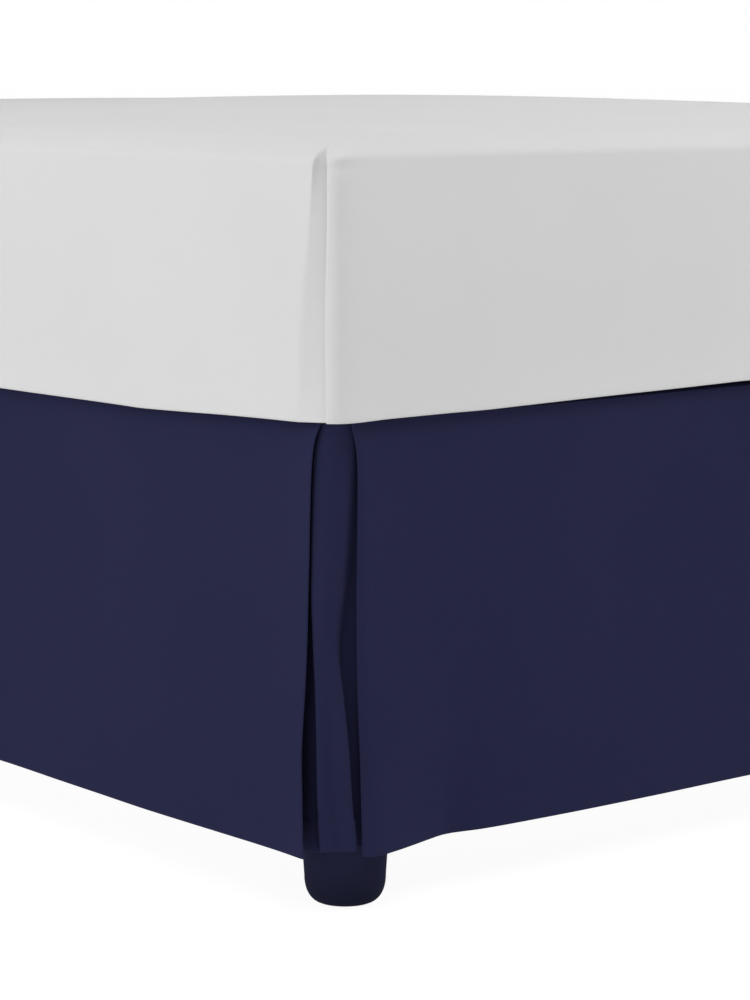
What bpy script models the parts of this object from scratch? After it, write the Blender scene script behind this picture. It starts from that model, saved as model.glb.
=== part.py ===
"""Tailored bed skirt on its bed: a queen box base on four round legs, the mattress on it, and a
three-sided skirt whose deck cloth lies between the two. The panels hang from the deck's edge to
50 mm above the floor, and a corner insert hangs behind each split corner at the foot.

Metres, +Z up, origin on the floor under the middle of the object. The foot end faces -Y.
"""

import math

import bmesh
import bpy

# The bed
BASE_WIDTH = 1.504
BASE_LENGTH = 2.012
BASE_HEIGHT = 0.226
BASE_CORNER_RADIUS = 0.040
BASE_EDGE_RADIUS = 0.005
MATTRESS_WIDTH = 1.528
MATTRESS_LENGTH = 2.036
MATTRESS_HEIGHT = 0.230
MATTRESS_CROWN = 0.016
# Loops of the mattress's cage: how many to each axis, and how far the outer ones lie from its low
# and high faces
MATTRESS_CUTS = (3, 3, 2)
MATTRESS_LOOPS = ((0.045, 0.045), (0.045, 0.045), (0.008, 0.034))
LEG_HEIGHT = 0.1785
LEG_INSET = 0.0395
LEG_TOP_RADIUS = 0.0375
LEG_BOTTOM_RADIUS = 0.0325
LEG_ROUNDING = 0.011
LEG_SIDES = 28

# The skirt
CLOTH = 0.0014
GAP = 0.0003
EDGE_CLEARANCE = 0.002
DECK_CORNER_RADIUS = 0.026
DROP = 0.356
INSERT_SHORTER = 0.0045
PANEL_CLEARANCE = 0.0008
# Just under its seam the cloth steps out by PANEL_STEP, over about STEP_DEPTH of the drop, and a side
# panel's free end rolls out over about ROLL_DEPTH of it
PANEL_STEP = 0.0014
STEP_DEPTH = 0.02
ROLL_DEPTH = 0.035
BELLY_DOWN = 0.4

# Heights and planes that follow from the sizes above
BASE_TOP = LEG_HEIGHT + GAP + BASE_HEIGHT
DECK_BOTTOM = BASE_TOP + GAP
DECK_TOP = DECK_BOTTOM + CLOTH
INSERT_TOP = DECK_BOTTOM - GAP
HEM_Z = DECK_TOP - DROP
INSERT_HEM_Z = HEM_Z + INSERT_SHORTER
INSERT_OUT = EDGE_CLEARANCE + CLOTH
SEAM_OUT = INSERT_OUT + PANEL_CLEARANCE + CLOTH
SKIRT_OUT = SEAM_OUT + PANEL_STEP
SKIRT_X = BASE_WIDTH / 2 + SKIRT_OUT
SKIRT_Y = BASE_LENGTH / 2 + SKIRT_OUT
DECK_OVERHANG = SEAM_OUT - CLOTH - GAP

# Heights of the cloth's rows, as shares of the drop, and how many faces lie between two points of
# the tables below
ROWS = (0.0, 0.03, 0.08, 0.16, 0.27, 0.39, 0.5, 0.62, 0.76, 0.89, 1.0)
PANEL_FACES = 2
INSERT_FACES = 3

# Side panels, from the split corner to the head end. along: distance from the corner. roll: how far
# the cloth stands out just below the seam. belly, hem: how far it hangs out at BELLY_DOWN and at the
# hem. Millimetres, outward from the skirt's plane. The last row is at the head end of the box base.
SIDE_FOLDS = (
    # along, roll, belly, hem
    (23, 8.5, 4.0, 11.0),
    (52, 5.0, 5.0, 12.0),
    (90, 3.2, 6.5, 12.0),
    (135, 2.4, 8.0, 11.8),
    (190, 1.8, 8.8, 11.2),
    (252, 1.3, 7.8, 9.9),
    (320, 1.0, 5.0, 6.0),
    (384, 0.8, 2.0, 2.5),
    (488, 0.6, -1.5, -3.7),
    (620, 0.6, -1.0, -2.6),
    (780, 0.6, 0.6, 1.6),
    (950, 0.6, -0.4, -1.8),
    (1140, 0.6, 0.6, 2.2),
    (1330, 0.6, -0.8, -2.4),
    (1520, 0.6, 0.4, 1.2),
    (1700, 0.6, -0.6, -1.6),
    (1870, 0.6, 0.2, 1.2),
    (2019, 0.6, 1.0, 3.0),
)

# The foot panel's free edge at a split corner, by height. edge: the edge's distance from the corner
# and how far out it is. crest: the same for the rounded fold beside it. dip: how far in the cloth
# hangs past that fold. Millimetres; down is a share of the drop.
FOOT_END = (
    # down, edge_along, edge_out, crest_along, crest_out, dip
    (0.00, 14.5, 0.0, 24.0, 0.0, 0.0),
    (0.08, 20.5, -0.4, 30.0, 0.8, 0.0),
    (0.23, 21.5, -0.9, 31.0, 1.7, 0.0),
    (0.39, 20.8, -1.2, 30.0, 2.0, 0.0),
    (0.64, 20.8, -1.2, 31.0, 2.6, -2.0),
    (0.78, 22.0, -1.2, 32.0, 4.0, -6.0),
    (0.91, 24.0, -0.6, 34.5, 6.0, -10.5),
    (1.00, 25.7, 0.2, 37.0, 7.4, -13.0),
)
# A point on the roll between the free edge and the crest, as shares of the way along and out
ROLL_POINT = (0.3, 0.72)
# How the foot panel hangs past its end fold: the share of the crest and of the dip at each distance
FOOT_FOLDS = (
    # along, crest_share, dip_share
    (52, 0.72, 0.02),
    (78, 0.20, 0.20),
    (105, 0.00, 0.66),
    (124, 0.00, 1.00),
    (164, 0.00, 0.52),
    (230, 0.00, 0.18),
    (348, 0.00, -0.03),
    (480, 0.00, 0.04),
    (620, 0.00, -0.06),
)
FAR_CORNER_SHARE = 0.7

# The corner insert, seen from in front of its corner. Across is to the right and deep is away from
# the viewer, from the corner of the skirt's planes. The cloth runs back beside the box, folds
# forward at fold, crosses at face, turns back at turn and lies deep behind the gap at floor and
# bend. Millimetres; down is a share of the drop.
INSERT_SECTIONS = (
    # down, then across and deep of: hollow, fold, face, turn, floor, bend
    (0.00, -18.7, 27.4, -16.1, 24.3, 1.2, 15.6, 14.9, 18.4, 17.5, 20.0, 20.0, 21.8),
    (0.07, -18.2, 27.2, -18.6, 21.0, -1.0, 13.5, 14.9, 18.0, 17.5, 20.2, 20.0, 21.8),
    (0.22, -17.2, 26.0, -20.1, 16.0, -3.0, 9.5, 13.5, 15.6, 16.5, 19.6, 20.0, 22.0),
    (0.38, -16.6, 25.6, -20.4, 13.5, -6.0, 8.0, 9.0, 12.4, 12.0, 19.5, 20.0, 22.4),
    (0.49, -16.0, 25.2, -19.0, 13.0, -9.0, 9.0, -0.7, 9.5, 2.5, 20.5, 15.0, 22.5),
    (0.62, -15.6, 26.0, -18.2, 12.0, -7.0, 10.0, 4.1, 9.8, 6.0, 21.5, 16.0, 23.0),
    (0.76, -13.6, 28.6, -17.2, 11.0, -4.0, 12.0, 10.0, 11.5, 9.5, 24.0, 15.5, 26.0),
    (0.89, -12.4, 29.6, -16.2, 11.5, -2.0, 13.5, 12.1, 13.0, 11.0, 25.0, 15.5, 27.5),
    (1.00, -12.0, 30.0, -13.9, 12.0, 0.0, 14.5, 14.0, 14.5, 13.0, 25.0, 16.5, 27.0),
)
# Beside the box the insert lies along it, and behind the foot panel where that dips in
SIDE_FLANK = (0.036, 0.050, 0.072, 0.100)
FOOT_FLANK = (0.050, 0.072, 0.100)
INSERT_CLEARANCE = 0.0015
# The reach of a section's tangent at a crease, as a share of its reach on a straight run
SHARP_REACH = 0.55
# The direction that the corner is seen from, in degrees from +X towards +Y
CORNER_VIEW_DEG = 49.43

NAVY = (0.020, 0.020, 0.052, 1.0)
DARK_NAVY = (0.012, 0.012, 0.028, 1.0)
WHITE = (0.72, 0.72, 0.72, 1.0)
TICKING = (0.55, 0.54, 0.52, 1.0)


def clear_scene():
    for obj in list(bpy.data.objects):
        bpy.data.objects.remove(obj, do_unlink=True)


def make_material(name, color, roughness, metallic=0.0):
    material = bpy.data.materials.new(name)
    material.use_nodes = True
    shader = material.node_tree.nodes["Principled BSDF"]
    shader.inputs["Base Color"].default_value = color
    shader.inputs["Roughness"].default_value = roughness
    shader.inputs["Metallic"].default_value = metallic
    material.diffuse_color = color
    return material


def add_object(name, mesh, material, bed):
    obj = bpy.data.objects.new(name, mesh)
    if not mesh.materials:
        mesh.materials.append(material)
    obj.parent = bed
    bpy.data.collections["bed_skirt"].objects.link(obj)
    return obj


def mesh_from(bm, name, smooth_deg=40):
    mesh = bpy.data.meshes.new(name)
    bm.to_mesh(mesh)
    bm.free()
    mesh.shade_smooth()
    mesh.set_sharp_from_angle(angle=math.radians(smooth_deg))
    return mesh


def rounded_slab(name, width, length, height, corner_radius, edge_radius):
    """A box with rounded upright corners and, if edge_radius isn't 0, eased top and bottom edges."""
    bm = bmesh.new()
    bmesh.ops.create_cube(bm, size=1)
    bmesh.ops.scale(bm, vec=(width, length, height), verts=bm.verts)
    upright = [e for e in bm.edges if abs(e.verts[0].co.z - e.verts[1].co.z) > height / 2]
    bmesh.ops.bevel(
        bm, geom=upright, offset=corner_radius, offset_type="OFFSET", segments=6, profile=0.5, affect="EDGES"
    )
    if edge_radius:
        level = [e for e in bm.edges if abs(e.verts[0].co.z - e.verts[1].co.z) < 1e-6]
        rim = [e for e in level if any(abs(f.normal.z) < 0.5 for f in e.link_faces)]
        bmesh.ops.bevel(
            bm, geom=rim, offset=edge_radius, offset_type="OFFSET", segments=2, profile=0.5, affect="EDGES"
        )
    return mesh_from(bm, name)


def leg_profile():
    """The leg's half outline, from the middle of its top to the middle of its foot."""
    points = [(0.0, LEG_HEIGHT), (LEG_TOP_RADIUS, LEG_HEIGHT)]
    for step in range(5):
        angle = math.radians(90 * step / 4)
        radius = LEG_BOTTOM_RADIUS - LEG_ROUNDING * (1 - math.cos(angle))
        points.append((radius, LEG_ROUNDING * (1 - math.sin(angle))))
    points.append((0.0, 0.0))
    return points


def leg_mesh():
    bm = bmesh.new()
    verts = [bm.verts.new((radius, 0, z)) for radius, z in leg_profile()]
    for upper, lower in zip(verts, verts[1:]):
        bm.edges.new((upper, lower))
    mesh = bpy.data.meshes.new("leg")
    bm.to_mesh(mesh)
    bm.free()
    return mesh


def add_legs(material, bed):
    mesh = leg_mesh()
    for end, y_sign in (("foot", -1), ("head", 1)):
        for side, x_sign in (("left", -1), ("right", 1)):
            leg = add_object(f"leg_{end}_{side}", mesh, material, bed)
            leg.location = (
                x_sign * (BASE_WIDTH / 2 - LEG_INSET),
                y_sign * (BASE_LENGTH / 2 - LEG_INSET),
                0,
            )
            turn = leg.modifiers.new("Turn", "SCREW")
            turn.steps = LEG_SIDES
            turn.render_steps = LEG_SIDES
            turn.use_merge_vertices = True
            turn.merge_threshold = 0.0001


def mattress_mesh():
    """A box cage with support loops near its edges, crowned on top, for the subdivision to round."""
    bm = bmesh.new()
    bmesh.ops.create_cube(bm, size=1)
    for axis, cuts in enumerate(MATTRESS_CUTS):
        along = [e for e in bm.edges if abs(e.verts[0].co[axis] - e.verts[1].co[axis]) > 1e-6]
        bmesh.ops.subdivide_edges(bm, edges=along, cuts=cuts, use_grid_fill=True)
    half = (MATTRESS_WIDTH / 2, MATTRESS_LENGTH / 2, MATTRESS_HEIGHT / 2)
    for vert in bm.verts:
        for axis, cuts in enumerate(MATTRESS_CUTS):
            step = round((vert.co[axis] + 0.5) * (cuts + 1))
            low, high = MATTRESS_LOOPS[axis]
            if step == 0:
                vert.co[axis] = -half[axis]
            elif step == cuts + 1:
                vert.co[axis] = half[axis]
            else:
                share = (step - 1) / (cuts - 1)
                vert.co[axis] = -half[axis] + low + share * (2 * half[axis] - low - high)
        if vert.co.z > half[2] - 1e-6:
            across = 1 - (vert.co.x / half[0]) ** 2
            along = 1 - (vert.co.y / half[1]) ** 2
            vert.co.z += MATTRESS_CROWN * across * along
    return mesh_from(bm, "mattress", 60)


def add_mattress(material, bed):
    mattress = add_object("mattress", mattress_mesh(), material, bed)
    mattress.location.z = DECK_TOP + GAP + MATTRESS_HEIGHT / 2
    rounding = mattress.modifiers.new("Rounding", "SUBSURF")
    rounding.levels = 2
    rounding.render_levels = 2


def smooth_line(points, per_span):
    """Points on a smooth curve through the given points, per_span of them to each span."""
    ends = [
        [2 * a - b for a, b in zip(points[0], points[1])],
        [2 * a - b for a, b in zip(points[-1], points[-2])],
    ]
    guide = [ends[0], *points, ends[1]]
    line = []
    for i in range(1, len(guide) - 2):
        before, start, end, after = guide[i - 1 : i + 3]
        span = math.dist(start, end)
        lead = (start_c - before_c for start_c, before_c in zip(start, before))
        follow = (after_c - end_c for after_c, end_c in zip(after, end))
        chord = [end_c - start_c for start_c, end_c in zip(start, end)]
        leave = tangent(list(lead), chord, span)
        arrive = tangent(chord, list(follow), span)
        for step in range(per_span):
            t = step / per_span
            weights = (
                2 * t**3 - 3 * t**2 + 1,
                t**3 - 2 * t**2 + t,
                3 * t**2 - 2 * t**3,
                t**3 - t**2,
            )
            line.append([
                weights[0] * s + weights[1] * lv + weights[2] * e + weights[3] * ar
                for s, lv, e, ar in zip(start, leave, end, arrive)
            ])
    line.append(list(points[-1]))
    return line


def tangent(incoming, outgoing, length):
    """The direction midway between two spans, nearer the shorter one's. At a sharp turn it is cut
    from length towards SHARP_REACH of it, which keeps a crease crisp."""
    len_in = math.hypot(*incoming) or 1e-9
    len_out = math.hypot(*outgoing) or 1e-9
    mixed = [i / len_in**2 + o / len_out**2 for i, o in zip(incoming, outgoing)]
    size = math.hypot(*mixed) or 1e-9
    turn = sum(i * o for i, o in zip(incoming, outgoing)) / (len_in * len_out)
    reach = length * (SHARP_REACH + (1 - SHARP_REACH) * max(0, turn))
    return [reach * m / size for m in mixed]


def between(table, down):
    """The row of a table at this share of the drop, taken straight between its rows."""
    for upper, lower in zip(table, table[1:]):
        if down <= lower[0]:
            share = (down - upper[0]) / (lower[0] - upper[0])
            return [u + share * (w - u) for u, w in zip(upper, lower)]
    return list(table[-1])


def seam_step(down):
    """How far inside the skirt's plane the cloth still is, near its seam."""
    return -PANEL_STEP * math.exp(-down / STEP_DEPTH)


def side_out(fold, down):
    along, roll, belly, hem = fold
    out = roll * (1 - math.exp(-down / ROLL_DEPTH))
    if down < BELLY_DOWN:
        share = down / BELLY_DOWN
        out += belly * share * (2 - share)
    else:
        share = (down - BELLY_DOWN) / (1 - BELLY_DOWN)
        out += belly + (hem - belly) * share**1.5
    return out / 1000 + seam_step(down)


def side_section(down):
    """(distance from the split corner, outward) along a side panel, at this share of the drop."""
    return smooth_line([(fold[0] / 1000, side_out(fold, down)) for fold in SIDE_FOLDS], PANEL_FACES)


def foot_end(down, share):
    """The foot panel from its free edge to its middle, as (distance from the corner, outward)."""
    _, edge_along, edge_out, crest_along, crest_out, dip = between(FOOT_END, down)
    shift = seam_step(down) * 1000
    points = [(edge_along, edge_out + shift)]
    roll_along = edge_along + ROLL_POINT[0] * (crest_along - edge_along)
    roll_out = edge_out + ROLL_POINT[1] * (crest_out - edge_out)
    points.append((roll_along, roll_out * share + shift))
    points.append((crest_along, crest_out * share + shift))
    for along, crest_share, dip_share in FOOT_FOLDS:
        out = crest_out * crest_share + dip * dip_share
        points.append((along, out * share + shift))
    points.append((SKIRT_X * 1000, shift))
    return smooth_line([(along / 1000, out / 1000) for along, out in points], PANEL_FACES)


def foot_section(down):
    """(x, outward) along the whole foot panel, at this share of the drop."""
    near = [(along - SKIRT_X, out) for along, out in foot_end(down, 1.0)]
    far = [(SKIRT_X - along, out) for along, out in foot_end(down, FAR_CORNER_SHARE)]
    return near + far[-2::-1]


def foot_out(down, distance):
    """How far out the foot panel hangs at this distance from the corner."""
    line = foot_end(down, 1.0)
    for (start, start_out), (end, end_out) in zip(line, line[1:]):
        if start <= distance <= end:
            return start_out + (end_out - start_out) * (distance - start) / (end - start)
    return line[0][1]


def insert_section(down):
    """(x, y) from the corner of the skirt's planes, along the left corner insert."""
    row = between(INSERT_SECTIONS, down)
    view = math.radians(CORNER_VIEW_DEG)
    points = []
    for across, deep in zip(row[1::2], row[2::2]):
        x = across * math.sin(view) + deep * math.cos(view)
        y = -across * math.cos(view) + deep * math.sin(view)
        points.append((x / 1000, y / 1000))
    beside = SKIRT_OUT - INSERT_OUT
    side_flank = [(beside, distance) for distance in reversed(SIDE_FLANK)]
    foot_flank = []
    for distance in FOOT_FLANK:
        behind_panel = CLOTH + INSERT_CLEARANCE - foot_out(down, distance)
        foot_flank.append((distance, max(beside, behind_panel)))
    return smooth_line(side_flank + points + foot_flank, INSERT_FACES)


def add_sheet(name, sections, place, material, bed, flip=False):
    """A hung sheet: a grid moved to the sections, its outside first, then given the cloth's
    thickness inwards."""
    columns = len(sections[0]) - 1
    rows = len(sections) - 1
    bm = bmesh.new()
    bmesh.ops.create_grid(bm, x_segments=columns, y_segments=rows, size=0.5)
    for vert in bm.verts:
        column = round((vert.co.x + 0.5) * columns)
        row = round((0.5 - vert.co.y) * rows)
        vert.co = place(sections[row][column], row)
    if flip:
        bmesh.ops.reverse_faces(bm, faces=bm.faces)
    sheet = add_object(name, mesh_from(bm, name, 60), material, bed)
    thicken = sheet.modifiers.new("Cloth", "SOLIDIFY")
    thicken.thickness = CLOTH
    thicken.offset = -1
    thicken.use_even_offset = True
    thicken.use_quality_normals = True
    return sheet


def add_panels(material, bed):
    heights = [DECK_TOP - down * DROP for down in ROWS]
    side_sections = [side_section(down) for down in ROWS]
    for side, sign in (("left", -1), ("right", 1)):
        add_sheet(
            f"side_panel_{side}",
            side_sections,
            lambda point, row, sign=sign: (sign * (SKIRT_X + point[1]), point[0] - SKIRT_Y, heights[row]),
            material,
            bed,
            flip=sign < 0,
        )
    add_sheet(
        "foot_panel",
        [foot_section(down) for down in ROWS],
        lambda point, row: (point[0], -SKIRT_Y - point[1], heights[row]),
        material,
        bed,
    )


def add_inserts(material, bed):
    heights = [INSERT_TOP + down * (INSERT_HEM_Z - INSERT_TOP) for down in ROWS]
    sections = [insert_section(down) for down in ROWS]
    for side, sign in (("left", -1), ("right", 1)):
        add_sheet(
            f"corner_insert_{side}",
            sections,
            lambda point, row, sign=sign: (sign * (SKIRT_X - point[0]), point[1] - SKIRT_Y, heights[row]),
            material,
            bed,
            flip=sign > 0,
        )


def main():
    clear_scene()
    bpy.context.scene.collection.children.link(bpy.data.collections.new("bed_skirt"))
    # The foot panel's end folds reach further than the mattress does at the head, so the bed stands
    # half the difference towards the head, which keeps the origin under the middle.
    foot_reach = SKIRT_Y + max(out for section in map(foot_section, ROWS) for _, out in section)
    bed = bpy.data.objects.new("bed", None)
    bed.location.y = (foot_reach - MATTRESS_LENGTH / 2) / 2
    bpy.data.collections["bed_skirt"].objects.link(bed)

    navy = make_material("navy_cloth", NAVY, 0.85)
    leg_finish = make_material("dark_navy_leg", DARK_NAVY, 0.5)
    white = make_material("white_cover", WHITE, 0.8)
    ticking = make_material("base_cloth", TICKING, 0.85)

    add_legs(leg_finish, bed)
    base = add_object(
        "box_base",
        rounded_slab("box_base", BASE_WIDTH, BASE_LENGTH, BASE_HEIGHT, BASE_CORNER_RADIUS, BASE_EDGE_RADIUS),
        ticking,
        bed,
    )
    base.location.z = LEG_HEIGHT + GAP + BASE_HEIGHT / 2
    deck = add_object(
        "deck",
        rounded_slab(
            "deck",
            BASE_WIDTH + 2 * DECK_OVERHANG,
            BASE_LENGTH + 2 * DECK_OVERHANG,
            CLOTH,
            DECK_CORNER_RADIUS,
            0,
        ),
        navy,
        bed,
    )
    deck.location.z = DECK_BOTTOM + CLOTH / 2
    add_mattress(white, bed)
    add_panels(navy, bed)
    add_inserts(navy, bed)


main()
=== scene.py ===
"""A tailored bed skirt on its bed, dressed for the picture: legs, box base, deck cloth, side panels,
foot panel, corner inserts, hem stitching and the covered mattress, in the order in which the bed is
put together.

Metres, +Z up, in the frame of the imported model.
"""

import math

import bmesh
import bpy
import numpy as np
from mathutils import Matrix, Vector, noise


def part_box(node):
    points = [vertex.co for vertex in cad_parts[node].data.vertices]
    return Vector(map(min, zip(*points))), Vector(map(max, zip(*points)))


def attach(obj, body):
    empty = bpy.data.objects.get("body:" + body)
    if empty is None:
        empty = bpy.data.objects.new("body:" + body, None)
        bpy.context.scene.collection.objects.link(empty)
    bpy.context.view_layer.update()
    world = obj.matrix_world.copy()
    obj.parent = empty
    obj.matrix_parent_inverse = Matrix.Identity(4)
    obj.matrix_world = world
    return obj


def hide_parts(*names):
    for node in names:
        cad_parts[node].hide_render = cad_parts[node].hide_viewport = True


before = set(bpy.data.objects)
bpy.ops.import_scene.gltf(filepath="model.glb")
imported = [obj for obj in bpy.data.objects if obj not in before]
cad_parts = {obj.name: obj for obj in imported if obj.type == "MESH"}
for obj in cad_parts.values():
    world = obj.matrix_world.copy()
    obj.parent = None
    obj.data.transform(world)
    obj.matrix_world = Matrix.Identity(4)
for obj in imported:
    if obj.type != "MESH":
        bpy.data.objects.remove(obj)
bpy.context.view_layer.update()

# ------------------------------------------------------------------------------------------------
# The picture. The bed is seen from its split corner at the foot, with a long lens and from a little
# above the mattress. It stands on a white floor that glows, in a room that is white near the floor and
# overhead and dark between. Large soft lights stand high on each side, with weaker ones all round.

LENS_MM = 115.63
EYE = Vector((-2.3888, -2.9606, 0.6957))
VIEW_YAW_DEG = 49.43
VIEW_PITCH_DEG = -7.848
FLOOR_HALF = 60.0
FLOOR_GREY = 0.10
FLOOR_GLOW = 0.93
# How bright the room is, by the sine of the height above the horizon
ROOM_GLOW = (
    # height, brightness
    (0.0, 1.0),
    (0.20, 1.0),
    (0.30, 0.0),
    (0.80, 0.0),
    (0.86, 1.88),
)
SOFT_LIGHT_WIDTH = 2.0
SOFT_LIGHTS = (
    # name, watts, place, what it shines at
    ("soft_light_left_high", 40, (-3.0, 1.0, 2.8), (-0.77, 0.2, 0.4)),
    ("soft_light_left_low", 30, (-3.8, -1.0, 1.2), (-0.77, -0.2, 0.4)),
    ("soft_light_right_high", 80, (2.0, -3.0, 2.8), (0.4, -1.02, 0.4)),
    ("soft_light_corner", 16, (-3.0, -3.6, 3.0), (-0.77, -1.02, 0.45)),
    ("soft_light_behind", 24, (0.5, 4.4, 1.4), (0.0, 1.0, 0.35)),
    ("soft_light_far_side", 24, (4.0, 1.0, 1.4), (0.77, 0.2, 0.35)),
)


def new_piece(name, mesh, material=None):
    """An object at the origin for this mesh, linked to the scene."""
    piece = bpy.data.objects.new(name, mesh)
    bpy.context.scene.collection.objects.link(piece)
    if material:
        mesh.materials.append(material)
    return piece


def shader_tree(name):
    """A new material, its node tree and its shader."""
    material = bpy.data.materials.new(name)
    material.use_nodes = True
    tree = material.node_tree
    return material, tree, tree.nodes["Principled BSDF"]


def set_inputs(tree, node, values):
    """Sets inputs to plain values, or links them to an output or to a node's first output."""
    for name, value in values.items():
        if isinstance(value, bpy.types.Node):
            value = value.outputs[0]
        if isinstance(value, bpy.types.NodeSocket):
            tree.links.new(value, node.inputs[name])
        else:
            node.inputs[name].default_value = value


def add_node(tree, kind, values=(), **properties):
    """A new node with its properties and its inputs set."""
    node = tree.nodes.new(kind)
    for name, value in properties.items():
        setattr(node, name, value)
    set_inputs(tree, node, dict(values))
    return node


camera_data = bpy.data.cameras.new("picture_camera")
camera_data.lens = LENS_MM
camera_data.clip_end = 4 * FLOOR_HALF
camera = bpy.data.objects.new("picture_camera", camera_data)
camera.location = EYE
view_yaw = math.radians(VIEW_YAW_DEG)
view_pitch = math.radians(VIEW_PITCH_DEG)
gaze = Vector((
    math.cos(view_yaw) * math.cos(view_pitch),
    math.sin(view_yaw) * math.cos(view_pitch),
    math.sin(view_pitch),
))
camera.rotation_euler = gaze.to_track_quat("-Z", "Y").to_euler()
bpy.context.scene.collection.objects.link(camera)
bpy.context.scene.camera = camera

world = bpy.data.worlds.new("white_room")
world.use_nodes = True
room = world.node_tree
sky = add_node(room, "ShaderNodeTexCoord").outputs["Generated"]
sky_height = add_node(room, "ShaderNodeSeparateXYZ", {"Vector": sky}).outputs["Z"]
glow = add_node(room, "ShaderNodeValToRGB", {"Fac": sky_height})
set_inputs(room, room.nodes["Background"], {"Color": glow})
for height, brightness in ROOM_GLOW[1:-1]:
    glow.color_ramp.elements.new(height)
for element, (height, brightness) in zip(glow.color_ramp.elements, ROOM_GLOW):
    element.position = height
    element.color = (brightness, brightness, brightness, 1)
bpy.context.scene.world = world
bpy.context.scene.view_settings.view_transform = "Standard"

for name, watts, place, target in SOFT_LIGHTS:
    light = bpy.data.lights.new(name, "AREA")
    light.energy = watts
    light.shape = "DISK"
    light.size = SOFT_LIGHT_WIDTH
    lamp = bpy.data.objects.new(name, light)
    lamp.location = place
    lamp.rotation_euler = (Vector(place) - Vector(target)).to_track_quat("Z", "Y").to_euler()
    lamp.visible_camera = False
    bpy.context.scene.collection.objects.link(lamp)

floor_mesh = bpy.data.meshes.new("floor")
bm = bmesh.new()
bmesh.ops.create_grid(bm, x_segments=1, y_segments=1, size=FLOOR_HALF)
bm.to_mesh(floor_mesh)
bm.free()
floor_white, floor_tree, floor_shader = shader_tree("floor_white")
set_inputs(floor_tree, floor_shader, {
    "Base Color": (FLOOR_GREY, FLOOR_GREY, FLOOR_GREY, 1),
    "Roughness": 1.0,
    "Specular IOR Level": 0.0,
    "Emission Color": (1, 1, 1, 1),
    "Emission Strength": FLOOR_GLOW,
})
floor = new_piece("floor", floor_mesh, floor_white)

# ------------------------------------------------------------------------------------------------
# The legs. Four short round wooden blocks, turned with a slight taper and a rounded foot, painted a
# matt dark navy and screwed up into the corners of the box base.

LEG_ARC_POINTS = 12
LEG_STEPS = 96
LEG_TOP_EASE = 0.0015
LEG_TOP_RADIUS = 0.0375
LEG_TAPER_FROM = 0.075
LEG_LOW_RADIUS = 0.0341
LEG_ROUND_IN = 0.0158
LEG_ROUND_UP = 0.0237
LEG_ROUND_POWER = 2.3
LEG_NAVY = (0.0180, 0.0188, 0.0458, 1)
LEG_NAVY_WORN = (0.0205, 0.0213, 0.0520, 1)
# Painted shade: the colour the leg darkens to at the floor, standing in for the shade on its lower part
LEG_PAINTED_SHADE_NAVY = (0.0072, 0.0077, 0.0188, 1)
# The heights between which the leg's painted shade fades, from darkest at the floor to none
LEG_PAINTED_SHADE_HEIGHTS = (0.004, 0.060)
# How much further from the bed's middle than its solid the leg stands
LEG_FURTHER_OUT = 0.0007


def finish_mesh(bm, name, sharp_deg):
    """A mesh from bm, smooth but for edges sharper than sharp_deg."""
    mesh = bpy.data.meshes.new(name)
    bm.to_mesh(mesh)
    bm.free()
    mesh.shade_smooth()
    mesh.set_sharp_from_angle(angle=math.radians(sharp_deg))
    return mesh


def blend(tree, share, first, second):
    """The output that mixes two colours, each a plain colour or another output."""
    colours = {"Factor": share, 6: first, 7: second}
    return add_node(tree, "ShaderNodeMix", colours, data_type="RGBA").outputs[2]


def relief(tree, height, strength, distance):
    """Fine relief on a surface, for a shader's normal."""
    return add_node(tree, "ShaderNodeBump", {"Height": height, "Strength": strength, "Distance": distance})


def grain(tree, place, scale, detail):
    """Soft irregular noise."""
    return add_node(tree, "ShaderNodeTexNoise", {"Vector": place, "Scale": scale, "Detail": detail})


def leg_paint():
    """Matt paint over turned wood: faint brush streaks round the leg, a little orange peel, and painted
    shade that darkens its colour towards the floor."""
    material, tree, shader = shader_tree("leg_paint")
    place = add_node(tree, "ShaderNodeTexCoord").outputs["Object"]
    stretch = add_node(tree, "ShaderNodeMapping", {"Vector": place, "Scale": (1, 1, 6)})
    paint_tone = blend(tree, grain(tree, stretch, 90.0, 3.0), LEG_NAVY, LEG_NAVY_WORN)
    height = add_node(tree, "ShaderNodeSeparateXYZ", {"Vector": place}).outputs["Z"]
    # Painted shade: the base colour darkens from this height range down to the floor
    shade_darkest_at, shade_gone_at = LEG_PAINTED_SHADE_HEIGHTS
    painted_shade_fade = add_node(tree, "ShaderNodeMapRange", {"Value": height, "From Min": shade_darkest_at, "From Max": shade_gone_at})
    set_inputs(tree, shader, {
        "Base Color": blend(tree, painted_shade_fade, LEG_PAINTED_SHADE_NAVY, paint_tone),
        "Roughness": 0.8,
        "Specular IOR Level": 0.02,
        "Normal": relief(tree, grain(tree, place, 900.0, 2.0), 0.12, 0.0002),
    })
    return material


def leg_outline(height):
    """The leg's half outline as (radius, height), from the middle of its top down to its foot."""
    points = [
        (0, height),
        (LEG_TOP_RADIUS - LEG_TOP_EASE, height),
        (LEG_TOP_RADIUS, height - LEG_TOP_EASE),
        (LEG_TOP_RADIUS, LEG_TAPER_FROM),
    ]
    for step in range(LEG_ARC_POINTS + 1):
        angle = math.radians(90 * step / LEG_ARC_POINTS)
        inward = 1 - abs(math.cos(angle)) ** (2 / LEG_ROUND_POWER)
        down = math.sin(angle) ** (2 / LEG_ROUND_POWER)
        points.append((LEG_LOW_RADIUS - LEG_ROUND_IN * inward, LEG_ROUND_UP * (1 - down)))
    points.append((0, 0))
    return points


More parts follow.
